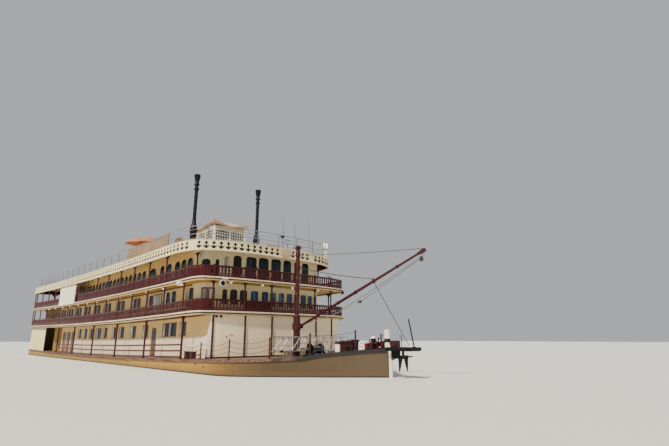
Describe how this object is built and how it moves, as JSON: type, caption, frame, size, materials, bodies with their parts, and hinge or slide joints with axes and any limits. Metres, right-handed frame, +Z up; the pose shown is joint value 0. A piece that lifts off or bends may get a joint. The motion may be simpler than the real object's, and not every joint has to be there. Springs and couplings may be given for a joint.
{
  "type": "stern-wheel paddle steamer, 1:2 scale model",
  "caption": "Three-deck river paddle steamer at half size: decked flat-bottomed hull, galleried deckhouses, derrick boom, tall funnels and a turning stern wheel.",
  "frame": {"origin": "centre of the flat hull bottom, amidships", "axes": "+X forward to the bow, +Y to port, +Z up; the waterline is 0.6 m above the origin"},
  "size_m": [33.7177, 7.87, 9.775],
  "materials": {
    "hull_tan": "satin paint, weathered",
    "strake_timber": "weathered timber",
    "white_paint": "satin paint",
    "black_paint": "satin paint",
    "mast_red": "gloss paint",
    "cream_paint": "satin paint",
    "maroon_paint": "gloss paint",
    "machine_green": "machinery enamel",
    "deck_white": "painted plate",
    "rail_grey": "satin paint",
    "wheel_red": "satin paint, water-worn",
    "steel": "turned steel",
    "door_brown": "varnished timber",
    "locker_red": "satin paint, worn",
    "canvas_tan": "woven canvas",
    "parasol_orange": "woven acrylic cloth",
    "aluminium": "mill finish"
  },
  "bodies": {
    "vessel": {"hull": "hull_tan", "rubbing_strake_starboard": "strake_timber", "rubbing_strake_port": "strake_timber", "stem_post": "white_paint", "bow_platform": "black_paint", "jackstaff": "black_paint", "anchor": "black_paint", "kingpost": "mast_red", "main_front_screen": "cream_paint", "main_wall_starboard": "cream_paint", "main_wall_port": "cream_paint", "main_deck_posts_starboard": "maroon_paint", "main_deck_posts_port": "maroon_paint", "stern_casing_starboard": "cream_paint", "stern_casing_port": "cream_paint", "engine_room_bulkhead": "cream_paint", "engine": "machine_green", "second_deck": "deck_white", "third_deck": "deck_white", "second_house_front": "cream_paint", "second_house_starboard": "cream_paint", "second_house_port": "cream_paint", "third_house_front": "cream_paint", "third_house_starboard": "cream_paint", "third_house_port": "cream_paint", "third_house_aft": "cream_paint", "wheel_trunk": "cream_paint", "second_gallery_front": "maroon_paint", "second_gallery_starboard": "maroon_paint", "second_gallery_port": "maroon_paint", "third_gallery_front": "maroon_paint", "third_gallery_starboard": "maroon_paint", "third_gallery_port": "maroon_paint", "roof_deck": "cream_paint", "roof_rail_starboard": "rail_grey", "roof_rail_port": "rail_grey", "roof_rail_front": "rail_grey", "rail_canvas": "canvas_tan", "parasol_fore": "parasol_orange", "parasol_aft": "parasol_orange", "wheelhouse": "cream_paint", "wheelhouse_roof": "cream_paint", "funnel_starboard": "black_paint", "funnel_port": "black_paint", "wheel_bearing_starboard": "machine_green", "wheel_bearing_port": "machine_green", "side_board_starboard": "white_paint", "side_board_port": "white_paint", "windlass": "locker_red", "foredeck_locker": "locker_red", "derrick_winch": "black_paint", "gangway": "aluminium"},
    "swivel": {"boom_collar": "mast_red"},
    "derrick": {"boom": "mast_red"},
    "stern_wheel": {"paddle_wheel": "wheel_red", "wheel_shaft": "steel"},
    "rudder_s": {"rudder_starboard": "maroon_paint"},
    "rudder_p": {"rudder_port": "maroon_paint"},
    "door_s": {"main_door_starboard": "door_brown"},
    "door_p": {"main_door_port": "door_brown"}
  },
  "joints": [
    {"name": "paddle_wheel_spin", "type": "hinge", "parent": "vessel", "child": "stern_wheel", "pos_m": [-14.15, 0, 1.9], "axis": [0, 1, 0], "continuous": true},
    {"name": "boom_slew", "type": "hinge", "parent": "vessel", "child": "swivel", "pos_m": [11.2, 0, 1.7], "axis": [0, 0, 1], "range_deg": [-75, 75]},
    {"name": "boom_luff", "type": "hinge", "parent": "swivel", "child": "derrick", "pos_m": [11.44, 0, 2.29], "axis": [0, -1, 0], "range_deg": [-10, 45]},
    {"name": "rudder_starboard_turn", "type": "hinge", "parent": "vessel", "child": "rudder_s", "pos_m": [-14.85, -2.8, 0.25], "axis": [0, 0, 1], "range_deg": [-35, 35]},
    {"name": "rudder_port_turn", "type": "hinge", "parent": "vessel", "child": "rudder_p", "pos_m": [-14.85, 2.8, 0.25], "axis": [0, 0, 1], "range_deg": [-35, 35]},
    {"name": "main_door_starboard_swing", "type": "hinge", "parent": "vessel", "child": "door_s", "pos_m": [5.19, -3.145, 1.6], "axis": [0, 0, 1], "range_deg": [0, 100]},
    {"name": "main_door_port_swing", "type": "hinge", "parent": "vessel", "child": "door_p", "pos_m": [5.19, 3.145, 1.6], "axis": [0, 0, -1], "range_deg": [0, 100]}
  ],
  "couplings": [
    {"joint": "rudder_port_turn", "follows": "rudder_starboard_turn", "ratio": 1}
  ]
}
